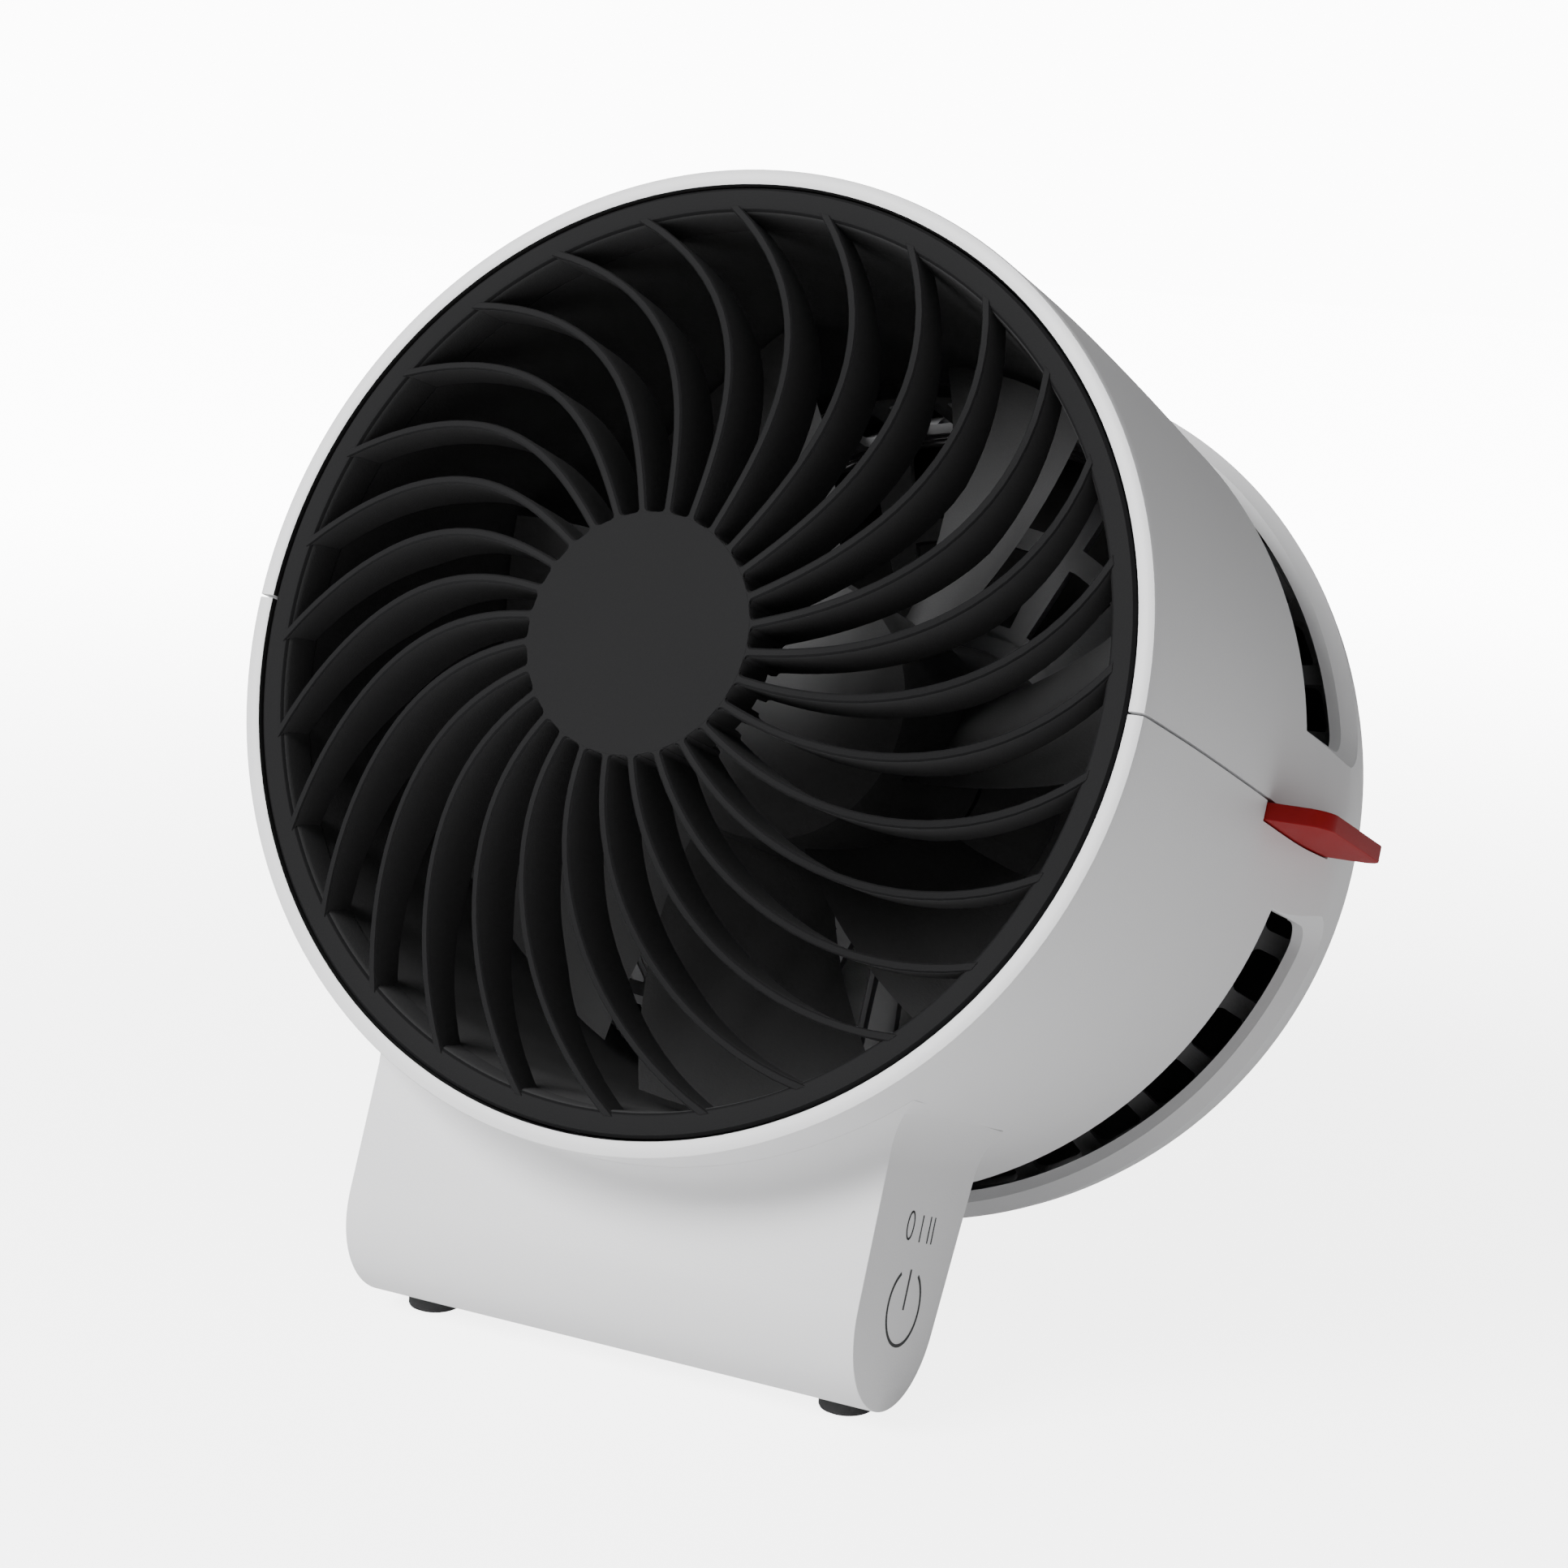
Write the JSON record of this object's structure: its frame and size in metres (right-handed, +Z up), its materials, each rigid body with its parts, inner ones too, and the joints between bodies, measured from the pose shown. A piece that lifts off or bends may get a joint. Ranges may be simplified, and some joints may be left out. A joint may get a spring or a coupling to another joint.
{
  "type": "air circulator fan",
  "caption": "Compact desk air circulator: barrel shell tipped back on a foot, spiral-rib front grille, motor-driven impeller, side intake slots, hinged upper cover with a pull tab.",
  "frame": {"origin": "middle of the overall box, at the surface the fan stands on", "axes": "+X to the fan's right as seen from the front, -Y out of the grille (level component of the air stream), +Z up"},
  "size_m": [0.1774, 0.1902, 0.1941],
  "materials": {
    "white_plastic": "satin",
    "black_plastic": "fine texture",
    "red_plastic": "satin",
    "rubber": "matte",
    "steel": "plain",
    "copper": "enamelled wire",
    "magnet": "ferrite",
    "board": "lacquered",
    "cable": "plain"
  },
  "bodies": {
    "base": {"lower_shell": "white_plastic", "front_grille": "black_plastic", "air_duct": "black_plastic", "basket_ring": "black_plastic", "intake_basket": "black_plastic", "basket_plate": "black_plastic", "motor_mount": "black_plastic", "front_bearing": "steel", "rear_bearing": "steel", "stator_core": "steel", "stator_coil_1": "copper", "stator_coil_2": "copper", "stator_coil_3": "copper", "stator_coil_4": "copper", "stator_coil_5": "copper", "stator_coil_6": "copper", "motor_board": "board", "motor_screw_1": "steel", "motor_screw_2": "steel", "motor_screw_3": "steel", "duct_screw_1": "steel", "duct_screw_2": "steel", "duct_screw_3": "steel", "duct_screw_4": "steel", "tab_spring": "steel", "hinge_pin": "steel", "foot_cover": "white_plastic", "cover_screw_left": "steel", "cover_screw_right": "steel", "power_socket": "steel", "control_board": "board", "touch_sensor": "copper", "motor_lead": "cable", "rubber_foot_left": "rubber", "rubber_foot_right": "rubber", "rubber_foot_rear": "rubber"},
    "fan_rotor": {"impeller": "black_plastic", "rotor_can": "steel", "ring_magnet": "magnet", "motor_shaft": "steel", "shaft_clip": "steel"},
    "upper_cover": {"upper_shell": "white_plastic"},
    "release_tab": {"release_tab": "red_plastic"}
  },
  "joints": [
    {"name": "impeller_spin", "type": "hinge", "parent": "base", "child": "fan_rotor", "pos_m": [-0.00255, -0.01291, 0.09824], "axis": [0, -0.9397, 0.342], "continuous": true},
    {"name": "upper_cover_hinge", "type": "hinge", "parent": "base", "child": "upper_cover", "pos_m": [-0.08655, -0.01855, 0.10029], "axis": [0, -0.9397, 0.342], "range_deg": [0, 75]},
    {"name": "release_tab_slide", "type": "slide", "parent": "base", "child": "release_tab", "axis": [1, 0, 0], "range_m": [0, 0.0025], "stiffness_N_per_m": 800, "springref_m": -0.002, "deforming": ["tab_spring"]}
  ]
}
